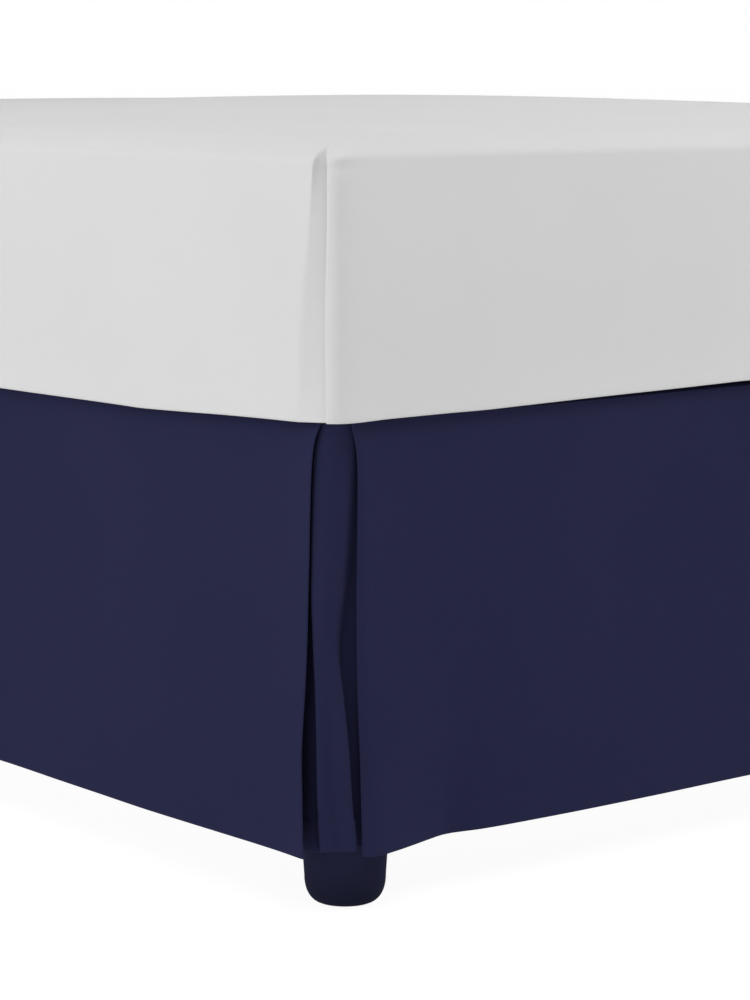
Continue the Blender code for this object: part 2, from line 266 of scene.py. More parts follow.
paint = leg_paint()
for corner in ("foot_left", "foot_right", "head_left", "head_right"):
    low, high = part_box(f"leg_{corner}")
    middle = (low + high) / 2
    middle.x += math.copysign(LEG_FURTHER_OUT, middle.x)
    bm = bmesh.new()
    outline = [bm.verts.new((radius, 0, z)) for radius, z in leg_outline(high.z - low.z)]
    edges = [bm.edges.new(pair) for pair in zip(outline, outline[1:])]
    turned = outline + edges
    bmesh.ops.spin(bm, geom=turned, axis=(0, 0, 1), cent=(0, 0, 0), angle=math.tau, steps=LEG_STEPS)
    bmesh.ops.remove_doubles(bm, verts=bm.verts, dist=1e-5)
    bmesh.ops.recalc_face_normals(bm, faces=bm.faces)
    bmesh.ops.translate(bm, verts=bm.verts, vec=(middle.x, middle.y, low.z))
    leg = new_piece(f"turned_leg_{corner}", finish_mesh(bm, "turned_leg", 40), paint)
    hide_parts(f"leg_{corner}")
    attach(leg, "root")

# ------------------------------------------------------------------------------------------------
# The box base. A wooden box covered in off-white ticking, which is pulled tight over its faces and
# closed with a piped welt round the top and the bottom edge.

BASE_CORNER_RADIUS = 0.040
BASE_EDGE_RADIUS = 0.007
BASE_TUCK = 0.0012
WELT_RADIUS = 0.0024
WELT_STAND = 0.0008
WELT_FROM_EDGE = 0.0075
TICKING_LIGHT = (0.62, 0.61, 0.585, 1)
TICKING_SHADE = (0.52, 0.51, 0.49, 1)
TICKING_STRIPE = (0.44, 0.45, 0.48, 1)
STRIPE_PITCH = 0.024
# How far from the middle between two stripes the stripe's colour starts and is full
STRIPE_RAMP = (0.0102, 0.0108)


def rounded_rectangle(half_x, half_y, radius, centre_y, height, arc_points=10):
    """Points round a rectangle with round corners, anticlockwise from above."""
    points = []
    for quarter, (sign_x, sign_y) in enumerate(((1, 1), (-1, 1), (-1, -1), (1, -1))):
        for step in range(arc_points + 1):
            angle = math.radians(90 * (quarter + step / arc_points))
            x = sign_x * (half_x - radius) + radius * math.cos(angle)
            y = sign_y * (half_y - radius) + radius * math.sin(angle)
            points.append(Vector((x, y + centre_y, height)))
    return points


def nodes_tree(name, inputs):
    """An empty geometry tree, what it is given and the node that takes its result."""
    tree = bpy.data.node_groups.new(name, "GeometryNodeTree")
    for socket, kind in {"Geometry": "NodeSocketGeometry", **inputs}.items():
        tree.interface.new_socket(socket, in_out="INPUT", socket_type=kind)
    tree.interface.new_socket("Geometry", in_out="OUTPUT", socket_type="NodeSocketGeometry")
    return tree, tree.nodes.new("NodeGroupInput").outputs, tree.nodes.new("NodeGroupOutput")


def end_tree(tree, geometry, material, result):
    """The end of a geometry tree: real geometry, smooth and in its material."""
    real = add_node(tree, "GeometryNodeRealizeInstances", {"Geometry": geometry})
    smooth = add_node(tree, "GeometryNodeSetShadeSmooth", {"Geometry": real})
    dressed = add_node(tree, "GeometryNodeSetMaterial", {"Geometry": smooth, "Material": material})
    set_inputs(tree, result, {"Geometry": dressed})


def piping_tree():
    """A round cord laid along the edges that come in."""
    sizes = {"Cord radius": "NodeSocketFloat", "Cloth": "NodeSocketMaterial"}
    tree, given, result = nodes_tree("piping", sizes)
    path = add_node(tree, "GeometryNodeMeshToCurve", {"Mesh": given["Geometry"]})
    radius = {"Radius": given["Cord radius"], "Resolution": 10}
    cord = add_node(tree, "GeometryNodeCurvePrimitiveCircle", radius)
    sweep = add_node(tree, "GeometryNodeCurveToMesh", {"Curve": path, "Profile Curve": cord})
    end_tree(tree, sweep, given["Cloth"], result)
    return tree


def mesh_by_nodes(name, paths, tree, values):
    """The plain mesh that a geometry tree makes along open or closed paths of points."""
    guide = bpy.data.meshes.new(f"{name}_guide")
    points, edges = [], []
    for path, closed in paths:
        first = len(points)
        points.extend(path)
        edges.extend((i, i + 1) for i in range(first, len(points) - 1))
        if closed:
            edges.append((len(points) - 1, first))
    guide.from_pydata(points, edges, [])
    maker = bpy.data.objects.new(f"{name}_guide", guide)
    bpy.context.scene.collection.objects.link(maker)
    modifier = maker.modifiers.new("Make", "NODES")
    modifier.node_group = tree
    for item in tree.interface.items_tree:
        if item.in_out == "INPUT" and item.name in values:
            modifier[item.identifier] = values[item.name]
    graph = bpy.context.evaluated_depsgraph_get()
    mesh = bpy.data.meshes.new_from_object(maker.evaluated_get(graph))
    mesh.name = name
    bpy.data.objects.remove(maker, do_unlink=True)
    bpy.data.meshes.remove(guide)
    return mesh


def maths(tree, operation, *values):
    """A sum on outputs, nodes or plain numbers."""
    return add_node(tree, "ShaderNodeMath", enumerate(values), operation=operation)


def ticking_cloth():
    """Striped ticking: off-white twill with a fine grey stripe up the sides of the box."""
    material, tree, shader = shader_tree("ticking")
    place = add_node(tree, "ShaderNodeTexCoord").outputs["Object"]
    spread = add_node(tree, "ShaderNodeSeparateXYZ", {"Vector": place}).outputs
    wave = maths(tree, "PINGPONG", maths(tree, "ADD", spread["X"], spread["Y"]), STRIPE_PITCH / 2)
    start, end = STRIPE_RAMP
    stripe = add_node(tree, "ShaderNodeMapRange", {"Value": wave, "From Min": start, "From Max": end})
    ground = blend(tree, grain(tree, place, 14.0, 4.0), TICKING_LIGHT, TICKING_SHADE)
    lines = {"Vector": place, "Scale": 420.0, "Distortion": 0.4}
    twill = add_node(tree, "ShaderNodeTexWave", lines, bands_direction="DIAGONAL")
    set_inputs(tree, shader, {
        "Base Color": blend(tree, stripe, ground, TICKING_STRIPE),
        "Roughness": 0.9,
        "Specular IOR Level": 0.2,
        "Sheen Weight": 0.08,
        "Normal": relief(tree, twill.outputs["Fac"], 0.25, 0.0003),
    })
    return material


ticking = ticking_cloth()
base_low, base_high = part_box("box_base")
base_middle = (base_low + base_high) / 2
base_half = (base_high - base_low) / 2

bm = bmesh.new()
bmesh.ops.create_cube(bm, size=2)
tucked = base_half - Vector((BASE_TUCK, BASE_TUCK, 0))
bmesh.ops.scale(bm, vec=tucked, verts=bm.verts)
upright = [e for e in bm.edges if abs(e.verts[0].co.z - e.verts[1].co.z) > base_half.z]
bmesh.ops.bevel(
    bm, geom=upright, offset=BASE_CORNER_RADIUS - BASE_TUCK, offset_type="OFFSET", segments=14,
    profile=0.5, affect="EDGES",
)
rim = [
    e for e in bm.edges
    if abs(e.verts[0].co.z - e.verts[1].co.z) < 1e-6 and any(abs(f.normal.z) < 0.5 for f in e.link_faces)
]
bmesh.ops.bevel(
    bm, geom=rim, offset=BASE_EDGE_RADIUS, offset_type="OFFSET", segments=5, profile=0.5, affect="EDGES"
)
bmesh.ops.translate(bm, verts=bm.verts, vec=base_middle)
base_cover = new_piece("base_cover", finish_mesh(bm, "base_cover", 35), ticking)
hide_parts("box_base")
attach(base_cover, "root")

welt_line = WELT_STAND - WELT_RADIUS
welt_x, welt_y = base_half.x + welt_line, base_half.y + welt_line
welt_paths = [
    (rounded_rectangle(welt_x, welt_y, BASE_CORNER_RADIUS + welt_line, base_middle.y, height), True)
    for height in (base_low.z + WELT_FROM_EDGE, base_high.z - WELT_FROM_EDGE)
]
welt_values = {"Cord radius": WELT_RADIUS, "Cloth": ticking}
welt_mesh = mesh_by_nodes("base_welts", welt_paths, piping_tree(), welt_values)
base_welts = new_piece("base_welts", welt_mesh)
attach(base_welts, "root")

# ------------------------------------------------------------------------------------------------
# The deck. One flat navy cloth the size of the bed, laid on the box base under the mattress. It holds
# the panels up at its edge, and its own edge shows only at the head.

DECK_CORNER_RADIUS = 0.026
DECK_ROWS = 24
DECK_COLUMNS = 18
NAVY = (0.0162, 0.0171, 0.0477, 1)
NAVY_FADED = (0.0188, 0.0196, 0.0535, 1)
THREAD_PITCH = 0.00055
SLUB_STRETCH = (60, 900, 1)


def plain_weave(name, colour, faded, depth, gloss, sheen):
    """Plain-woven cloth: threads over and under one another on the cloth's own UV map, with slubs in
    the yarn, and a colour that drifts a little over the width."""
    material, tree, shader = shader_tree(name)
    place = add_node(tree, "ShaderNodeTexCoord").outputs["UV"]
    pitch = (1 / THREAD_PITCH, 1 / THREAD_PITCH, 1)
    threads = add_node(tree, "ShaderNodeMapping", {"Vector": place, "Scale": pitch})
    over = add_node(tree, "ShaderNodeTexChecker", {"Vector": threads, "Scale": 1.0}).outputs["Fac"]
    spread = add_node(tree, "ShaderNodeSeparateXYZ", {"Vector": threads}).outputs
    warp = maths(tree, "PINGPONG", spread["X"], 0.5)
    weft = maths(tree, "PINGPONG", spread["Y"], 0.5)
    weave = add_node(tree, "ShaderNodeMix", {"Factor": over, "A": warp, "B": weft}, data_type="FLOAT")
    long_yarn = add_node(tree, "ShaderNodeMapping", {"Vector": place, "Scale": SLUB_STRETCH})
    slubs = grain(tree, long_yarn, 1.0, 2.0)
    tone = maths(tree, "MULTIPLY_ADD", slubs, 0.5, grain(tree, place, 5.0, 4.0))
    fading = add_node(tree, "ShaderNodeMapRange", {"Value": tone, "From Min": 0.45, "From Max": 1.05})
    set_inputs(tree, shader, {
        "Base Color": blend(tree, fading, colour, faded),
        "Roughness": 0.92,
        "Specular IOR Level": gloss,
        "Sheen Weight": sheen,
        "Sheen Roughness": 0.5,
        "Normal": relief(tree, maths(tree, "ADD", weave, slubs), depth, 0.0003),
    })
    return material


def uv_from_points(mesh, coordinates):
    """A UV map that gives each point of the mesh its place on the flat cloth, in metres."""
    layer = mesh.uv_layers.new(name="cloth")
    corners = np.zeros(len(mesh.loops), np.int32)
    mesh.loops.foreach_get("vertex_index", corners)
    layer.data.foreach_set("uv", np.asarray(coordinates, np.float32)[corners].ravel())


navy_cloth = plain_weave("navy_cloth", NAVY, NAVY_FADED, 0.35, 0.02, 0.006)
deck_low, deck_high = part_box("deck")
deck_half = (deck_high - deck_low) / 2
deck_middle = (deck_high + deck_low) / 2

bm = bmesh.new()
bmesh.ops.create_grid(bm, x_segments=DECK_COLUMNS, y_segments=DECK_ROWS, size=1)
for vert in bm.verts:
    x, y = vert.co.x * deck_half.x, vert.co.y * deck_half.y
    past_x = max(0, abs(x) - (deck_half.x - DECK_CORNER_RADIUS))
    past_y = max(0, abs(y) - (deck_half.y - DECK_CORNER_RADIUS))
    past = math.hypot(past_x, past_y)
    if past > DECK_CORNER_RADIUS:
        pull = 1 - DECK_CORNER_RADIUS / past
        x -= math.copysign(past_x * pull, x)
        y -= math.copysign(past_y * pull, y)
    vert.co = (x, y + deck_middle.y, deck_high.z)
deck_mesh = finish_mesh(bm, "deck_cloth", 50)
uv_from_points(deck_mesh, [(v.co.x, v.co.y) for v in deck_mesh.vertices])
deck_cloth = new_piece("deck_cloth", deck_mesh, navy_cloth)
thicken = deck_cloth.modifiers.new("Cloth", "SOLIDIFY")
thicken.thickness = deck_high.z - deck_low.z
thicken.offset = -1
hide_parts("deck")
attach(deck_cloth, "root")

# ------------------------------------------------------------------------------------------------
# The side panels. A width of the navy cloth hangs from the deck's edge down each side of the bed. Its
# hem is turned in at the foot and along the free end at the split corner, where the cloth rolls out.

CLOTH = 0.0009
HEM_CLOTH = 0.0007
HEM_DEPTH = 0.025
SIDE_HEM_DEPTH = 0.012
HEM_RIDGE = 0.00005
HEM_STEP = 0.0012
STITCH_INSIDE_HEM = 0.003
GAP = 0.0003
SOLID_CLOTH = 0.0014
PANEL_STEP = 0.0014
STEP_DEPTH = 0.02
ROLL_DEPTH = 0.035
BELLY_DOWN = 0.4
SHARP_REACH = 0.75
PANEL_FACES = 10
ROW_SPACING = 0.007
SEAM_ROWS = (0.0, 0.0008, 0.002, 0.0036, 0.0056, 0.008, 0.011, 0.0145, 0.0185, 0.023)
ABOVE_HEM = 0.003
HEM_ROWS = (0.016, 0.010, 0.005, 0.0018, 0.0)
EDGE_ROUND = 0.4
SEAM_BELOW = 0.0003

skirt_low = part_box("side_panel_left")[0]
DECK_TOP = deck_high.z - EDGE_ROUND * CLOTH - SEAM_BELOW
DROP = DECK_TOP - skirt_low.z
SKIRT_X = deck_half.x + GAP + SOLID_CLOTH + PANEL_STEP
SKIRT_Y = deck_half.y + GAP + SOLID_CLOTH + PANEL_STEP
BED_Y = deck_middle.y

# The free edge at a split corner, by height: how far it is from the corner
SIDE_EDGE = (
    # down, along
    (0.00, 23.0),
    (0.30, 23.2),
    (0.41, 24.5),
    (0.50, 25.3),
    (0.60, 26.7),
    (0.69, 28.6),
    (0.76, 29.5),
    (0.83, 28.0),
    (0.90, 26.3),
    (1.00, 23.4),
)
# From the split corner to the head end. along: distance from the corner. roll: how far the cloth
# stands out just below the seam. belly, hem: how far it hangs out at BELLY_DOWN and at the hem.
# Millimetres, outward from the skirt's plane.
SIDE_FOLDS = (
    # along, roll, belly, hem
    (23, 8.5, 4.0, 11.0),
    (52, 5.0, 5.0, 12.0),
    (90, 3.2, 6.5, 12.0),
    (135, 2.4, 8.0, 11.8),
    (190, 1.8, 8.8, 11.2),
    (252, 1.3, 7.8, 9.9),
    (320, 1.0, 5.0, 6.0),
    (384, 0.8, 2.0, 2.5),
    (488, 0.6, -1.5, -3.7),
    (620, 0.6, -1.0, -2.6),
    (780, 0.6, 0.6, 1.6),
    (950, 0.6, -0.4, -1.8),
    (1140, 0.6, 0.6, 2.2),
    (1330, 0.6, -0.8, -2.4),
    (1520, 0.6, 0.4, 1.2),
    (1700, 0.6, -0.6, -1.6),
    (1870, 0.6, 0.2, 1.2),
    (2019, 0.6, 1.0, 3.0),
)


def smooth_line(points, per_span):
    """Points on a smooth curve through the given points, per_span of them to each span."""
    points = np.array(points, float)
    guide = [2 * points[0] - points[1], *points, 2 * points[-1] - points[-2]]
    line = []
    for before, start, end, after in zip(guide, guide[1:], guide[2:], guide[3:]):
        span = np.linalg.norm(end - start)
        leave = tangent(start - before, end - start, span)
        arrive = tangent(end - start, after - end, span)
        line += [hermite(step / per_span, start, leave, end, arrive) for step in range(per_span)]
    return [*line, points[-1]]


def tangent(incoming, outgoing, length):
    """The direction midway between two spans, nearer the shorter one's. At a sharp turn it is cut
    from length towards SHARP_REACH of it, which keeps a crease crisp."""
    len_in, len_out = np.linalg.norm(incoming), np.linalg.norm(outgoing)
    mixed = incoming / len_in**2 + outgoing / len_out**2
    turn = incoming.dot(outgoing) / (len_in * len_out)
    reach = length * (SHARP_REACH + (1 - SHARP_REACH) * max(0, turn))
    return reach * mixed / np.linalg.norm(mixed)


def hermite(t, start, leave, end, arrive):
    """The point at share t of a span, from its ends and how it leaves and arrives."""
    first = (2 * t**3 - 3 * t**2 + 1) * start + (t**3 - 2 * t**2 + t) * leave
    return first + (3 * t**2 - 2 * t**3) * end + (t**3 - t**2) * arrive


def between(table, down):
    """The row of a table at this share of the drop, on a smooth curve through its rows."""
    rows = np.array(table)
    last = len(rows) - 1
    i = min(max(sum(rows[:, 0] <= down) - 1, 0), last - 1)
    span = rows[i + 1, 0] - rows[i, 0]
    slopes = []
    for j in (i, i + 1):
        upper, lower = rows[max(j - 1, 0)], rows[min(j + 1, last)]
        slopes.append(span * (lower - upper) / (lower[0] - upper[0]))
    return hermite(min(1, (down - rows[i, 0]) / span), rows[i], slopes[0], rows[i + 1], slopes[1])


def seam_step(down):
    """How far inside the skirt's plane the cloth still is, near its seam."""
    return -PANEL_STEP * math.exp(-down / STEP_DEPTH)


def side_out(fold, down):
    """How far out a side panel hangs at one of its folds, in metres."""
    along, roll, belly, hem = fold
    out = roll * (1 - math.exp(-down / ROLL_DEPTH))
    if down < BELLY_DOWN:
        share = down / BELLY_DOWN
        out += belly * share * (2 - share)
    else:
        share = (down - BELLY_DOWN) / (1 - BELLY_DOWN)
        out += belly + (hem - belly) * share**1.5
    return out / 1000 + seam_step(down)


def side_section(down):
    """(distance from the split corner, outward) along a side panel, at this share of the drop."""
    points = [(fold[0] / 1000, side_out(fold, down)) for fold in SIDE_FOLDS]
    points[0] = (between(SIDE_EDGE, down)[1] / 1000, points[0][1])
    return smooth_line(points, PANEL_FACES)


def rows_below(length):
    """How far below the top edge each row of the cloth lies: close at the seam and at the hem."""
    hem_top = length - HEM_DEPTH
    hem_rows = [hem_top - ABOVE_HEM, hem_top - HEM_STEP, hem_top, hem_top + STITCH_INSIDE_HEM]
    hem_rows += [length - above for above in HEM_ROWS]
    count = round((hem_rows[0] - SEAM_ROWS[-1]) / ROW_SPACING)
    plain = [SEAM_ROWS[-1] + (hem_rows[0] - SEAM_ROWS[-1]) * i / count for i in range(1, count)]
    return [*SEAM_ROWS, *plain, *hem_rows]


def soft_step(value, start, end):
    """0 before start and 1 after end, with a smooth rise between them."""
    share = np.clip((np.asarray(value, float) - start) / (end - start), 0, 1)
    return share * share * (3 - 2 * share)


def grid_normals(points, facing):
    """Unit normals of a grid of points; facing is 1 or -1, for the side that is its outside."""
    normals = np.cross(np.gradient(points, axis=1), np.gradient(points, axis=0)) * facing
    return normals / np.linalg.norm(normals, axis=2, keepdims=True)


def along_rows(points):
    """How far along the cloth each column is, measured on the middle row."""
    middle = points[len(points) // 2]
    steps = np.linalg.norm(np.diff(middle, axis=0), axis=1)
    return np.concatenate([[0], np.cumsum(steps)])


def hung_cloth(points, depths, facing, hemmed_ends):
    """The mesh of a hung sheet from its outer face, a row of points for each depth below its top: its
    inner face, turned hems, and a round edge all the way round. Gives (mesh, outer points, normals)."""
    points = np.array(points, float)
    rows, columns = points.shape[:2]
    normals = grid_normals(points, facing)
    across = along_rows(points)
    depths = np.array(depths)
    hem_top = depths[-1] - HEM_DEPTH
    hem = soft_step(depths, hem_top - HEM_STEP, hem_top)[:, None]
    ends = np.zeros(columns)
    if "start" in hemmed_ends:
        ends = np.maximum(ends, soft_step(-across, -SIDE_HEM_DEPTH - HEM_STEP, -SIDE_HEM_DEPTH))
    if "end" in hemmed_ends:
        end_hem = across[-1] - SIDE_HEM_DEPTH
        ends = np.maximum(ends, soft_step(across, end_hem - HEM_STEP, end_hem))
    doubled = np.maximum(hem, ends[None, :])[:, :, None]
    outer = points + normals * HEM_RIDGE * doubled
    thick = CLOTH + HEM_CLOTH * doubled
    inner = points - normals * thick

    rim = [(0, c) for c in range(columns - 1)] + [(r, columns - 1) for r in range(rows - 1)]
    rim += [(rows - 1, c) for c in range(columns - 1, 0, -1)] + [(r, 0) for r in range(rows - 1, 0, -1)]
    edge = []
    for r, c in rim:
        out = np.zeros(3)
        if r in (0, rows - 1):
            out += outer[r, c] - outer[1 if r == 0 else rows - 2, c]
        if c in (0, columns - 1):
            out += outer[r, c] - outer[r, 1 if c == 0 else columns - 2]
        out -= normals[r, c] * out.dot(normals[r, c])
        out /= np.linalg.norm(out)
        edge.append((outer[r, c] + inner[r, c]) / 2 + out * EDGE_ROUND * thick[r, c, 0])

    count = rows * columns
    flat = np.stack(np.meshgrid(across, -depths), axis=2).reshape(-1, 2)
    vertices = np.concatenate([outer.reshape(-1, 3), inner.reshape(-1, 3), np.array(edge)])
    places = np.concatenate([flat, flat, [flat[r * columns + c] for r, c in rim]])
    faces = []
    for r in range(rows - 1):
        for c in range(columns - 1):
            a = r * columns + c
            quad = (a, a + columns, a + columns + 1, a + 1)
            faces.append(quad)
            faces.append(tuple(count + i for i in reversed(quad)))
    for k, (r, c) in enumerate(rim):
        following = (k + 1) % len(rim)
        r2, c2 = rim[following]
        here, there = r * columns + c, r2 * columns + c2
        mid_here, mid_there = 2 * count + k, 2 * count + following
        faces.append((here, there, mid_there, mid_here))
        faces.append((mid_here, mid_there, count + there, count + here))
    if facing > 0:
        faces = [tuple(reversed(face)) for face in faces]
    mesh = bpy.data.meshes.new("hung_cloth")
    mesh.from_pydata(vertices.tolist(), [], faces)
    uv_from_points(mesh, places)
    mesh.shade_smooth()
    mesh.set_sharp_from_angle(angle=math.radians(50))
    return mesh, outer, normals


seams = []
panel_depths = rows_below(DROP)
side_sections = [side_section(depth / DROP) for depth in panel_depths]
for side, sign in (("left", -1), ("right", 1)):
    grid = [
        [(sign * (SKIRT_X + out), along - SKIRT_Y + BED_Y, DECK_TOP - depth) for along, out in section]
        for section, depth in zip(side_sections, panel_depths)
    ]
    mesh, outer, normals = hung_cloth(grid, panel_depths, -sign, ("start", "end"))
    panel = new_piece(f"side_cloth_{side}", mesh, navy_cloth)
    seams.append((panel, outer, normals, panel_depths, f"side_panel_{side}", ("start", "end")))

# ------------------------------------------------------------------------------------------------
# The foot panel. The same cloth across the foot of the bed. Each free end rolls round into a soft
# upright fold beside its split corner, and past the fold the cloth hangs in a shallow dip.

# The free edge at a split corner, by height. edge: the edge's distance from the corner and how far
# out it is. crest: the same for the rounded fold beside it. dip: how far in the cloth hangs past
# that fold. Millimetres; down is a share of the drop.
FOOT_END = (
    # down, edge_along, edge_out, crest_along, crest_out, dip
    (0.00, 14.5, 0.0, 24.0, 0.0, 0.0),
    (0.08, 20.5, -0.4, 30.0, 0.8, 0.0),
    (0.23, 21.5, -0.9, 31.0, 1.7, 0.0),
    (0.39, 20.8, -1.2, 30.0, 2.0, 0.0),
    (0.50, 20.8, -1.2, 30.5, 2.3, -0.8),
    (0.64, 22.0, -1.2, 32.0, 2.6, -2.0),
    (0.78, 24.6, -1.2, 34.5, 4.0, -6.0),
    (0.91, 25.6, -0.6, 36.0, 6.0, -10.5),
    (1.00, 25.8, 0.2, 37.0, 7.4, -13.0),
)
# A point on the roll between the free edge and the crest, as shares of the way along and out
ROLL_POINT = (0.3, 0.72)
# Past its end fold: the share of the crest and of the dip at each distance
FOOT_FOLDS = (
    # along, crest_share, dip_share
    (52, 0.72, 0.02),
    (78, 0.20, 0.20),
    (105, 0.00, 0.66),
    (124, 0.00, 1.00),
    (164, 0.00, 0.52),
    (230, 0.00, 0.18),
    (348, 0.00, -0.03),
    (480, 0.00, 0.04),
    (620, 0.00, -0.06),
)
FAR_CORNER_SHARE = 0.7


def foot_end(down, share):
    """The foot panel from its free edge to its middle, as (distance from the corner, outward)."""
    _, edge_along, edge_out, crest_along, crest_out, dip = between(FOOT_END, down)
    shift = seam_step(down) * 1000
    roll_along = edge_along + ROLL_POINT[0] * (crest_along - edge_along)
    roll_out = edge_out + ROLL_POINT[1] * (crest_out - edge_out)
    points = [
        (edge_along, edge_out + shift),
        (roll_along, roll_out * share + shift),
        (crest_along, crest_out * share + shift),
    ]
    for along, crest_share, dip_share in FOOT_FOLDS:
        points.append((along, (crest_out * crest_share + dip * dip_share) * share + shift))
    points.append((SKIRT_X * 1000, shift))
    return smooth_line([(along / 1000, out / 1000) for along, out in points], PANEL_FACES)


def foot_section(down):
    """(x, outward) along the whole foot panel, at this share of the drop."""
    near = [(along - SKIRT_X, out) for along, out in foot_end(down, 1.0)]
    far = [(SKIRT_X - along, out) for along, out in foot_end(down, FAR_CORNER_SHARE)]
    return near + far[-2::-1]


grid = [
    [(x, BED_Y - SKIRT_Y - out, DECK_TOP - depth) for x, out in foot_section(depth / DROP)]
    for depth in panel_depths
]
mesh, outer, normals = hung_cloth(grid, panel_depths, 1, ("start", "end"))
panel = new_piece("foot_cloth", mesh, navy_cloth)
seams.append((panel, outer, normals, panel_depths, "foot_panel", ("start", "end")))

# ------------------------------------------------------------------------------------------------
# The corner inserts. A narrower piece of the same cloth hangs behind each split corner from the
# underside of the deck, so that no leg or box shows. It folds forward and back behind the split.

INSERT_SHORTER = 0.0045
INSERT_BEHIND = 0.0008
INSERT_FACES = 10
# Seen from in front of its corner. Across is to the right and deep is away from the viewer, from the
# corner of the skirt's planes. The cloth runs back beside the box, folds forward at fold, crosses at
# face, turns back at turn and lies deep behind the gap at floor and bend. Millimetres.
INSERT_SECTIONS = (
    # down, then across and deep of: hollow, fold, face, turn, floor, bend
    (0.00, -18.7, 27.4, -16.1, 24.3, 1.2, 15.6, 14.9, 18.4, 17.5, 20.0, 20.0, 21.8),
    (0.07, -18.2, 27.2, -19.3, 20.0, -3.0, 11.4, 10.4, 15.2, 16.2, 20.8, 20.0, 22.2),
    (0.22, -17.2, 26.0, -21.1, 16.0, -6.5, 8.8, 6.4, 13.2, 13.8, 21.6, 19.3, 23.6),
    (0.38, -16.6, 25.6, -21.4, 13.6, -9.4, 8.0, 2.0, 12.2, 9.4, 22.4, 17.6, 24.6),
    (0.49, -16.0, 25.2, -20.0, 13.0, -10.7, 9.2, -2.6, 10.8, 3.8, 22.6, 14.8, 25.0),
    (0.55, -15.8, 25.6, -19.0, 12.4, -9.6, 9.8, -1.8, 10.0, 2.4, 22.4, 14.8, 24.6),
    (0.62, -15.6, 26.0, -17.8, 12.0, -8.0, 10.0, 1.7, 9.8, 3.6, 22.4, 15.4, 24.0),
    (0.76, -13.6, 28.6, -16.4, 11.0, -5.5, 12.0, 7.0, 11.5, 6.9, 24.0, 14.5, 26.0),
    (0.89, -12.4, 29.6, -15.8, 11.5, -3.0, 13.5, 10.0, 13.0, 9.0, 25.0, 14.5, 27.5),
    (1.00, -12.0, 30.0, -12.9, 12.0, 0.0, 14.5, 13.4, 14.5, 12.5, 25.0, 16.5, 27.0),
)
SIDE_FLANK = (0.036, 0.050, 0.072, 0.100)
FOOT_FLANK = (0.050, 0.072, 0.100)
INSERT_CLEARANCE = 0.0015
# The flank beside the box hangs a little lower than the rest, up to these columns of the cloth
INSERT_FLANK_LONGER = 0.0046
INSERT_FLANK_COLUMNS = (40, 50)


def foot_out(down, distance):
    """How far out the foot panel hangs at this distance from the corner."""
    line = np.array(foot_end(down, 1.0))
    return np.interp(distance, line[:, 0], line[:, 1])


def insert_section(down):
    """(x, y) from the corner of the skirt's planes, along the left corner insert."""
    row = between(INSERT_SECTIONS, down)
    points = []
    for across, deep in zip(row[1::2], row[2::2]):
        x = across * math.sin(view_yaw) + deep * math.cos(view_yaw)
        y = -across * math.cos(view_yaw) + deep * math.sin(view_yaw)
        points.append((x / 1000, y / 1000))
    beside = PANEL_STEP + SOLID_CLOTH + INSERT_BEHIND
    side_flank = [(beside, distance) for distance in reversed(SIDE_FLANK)]
    foot_flank = []
    for distance in FOOT_FLANK:
        behind_panel = SOLID_CLOTH + INSERT_CLEARANCE - foot_out(down, distance)
        foot_flank.append((distance, max(beside, behind_panel)))
    return smooth_line(side_flank + points + foot_flank, INSERT_FACES)


insert_top = deck_low.z - GAP - EDGE_ROUND * CLOTH
insert_length = insert_top - (DECK_TOP - DROP + INSERT_SHORTER)
insert_depths = rows_below(insert_length)
insert_sections = [insert_section(depth / insert_length) for depth in insert_depths]
insert_stretch = 1 - soft_step(np.arange(len(insert_sections[0])), *INSERT_FLANK_COLUMNS)
insert_stretch = 1 + insert_stretch * INSERT_FLANK_LONGER / insert_length
for side, sign in (("left", -1), ("right", 1)):
    grid = [
        [
            (sign * (SKIRT_X - x), y - SKIRT_Y + BED_Y, insert_top - depth * stretch)
            for (x, y), stretch in zip(section, insert_stretch)
        ]
        for section, depth in zip(insert_sections, insert_depths)
    ]
    mesh, outer, normals = hung_cloth(grid, insert_depths, -sign, ())
    insert = new_piece(f"insert_cloth_{side}", mesh, navy_cloth)
    seams.append((insert, outer, normals, insert_depths, f"corner_insert_{side}", ()))

# ------------------------------------------------------------------------------------------------
# The hem stitching. One row of lockstitch in the cloth's own navy holds each hem, a few millimetres
# inside its turned edge, along the foot of every panel and insert and up the panels' free ends.

STITCH_LENGTH = 0.0023
STITCH_GAP = 0.0007
THREAD_RADIUS = 0.0002
THREAD_NAVY = (0.017, 0.018, 0.050, 1)
# The share of its radius by which the middle of a stitch stands off the cloth
THREAD_STANDS = 0.3
STITCH_FROM_RAW_END = 0.004
# The row of the cloth, from the top, at which an end hem's stitching starts
END_STITCH_ROW = 6


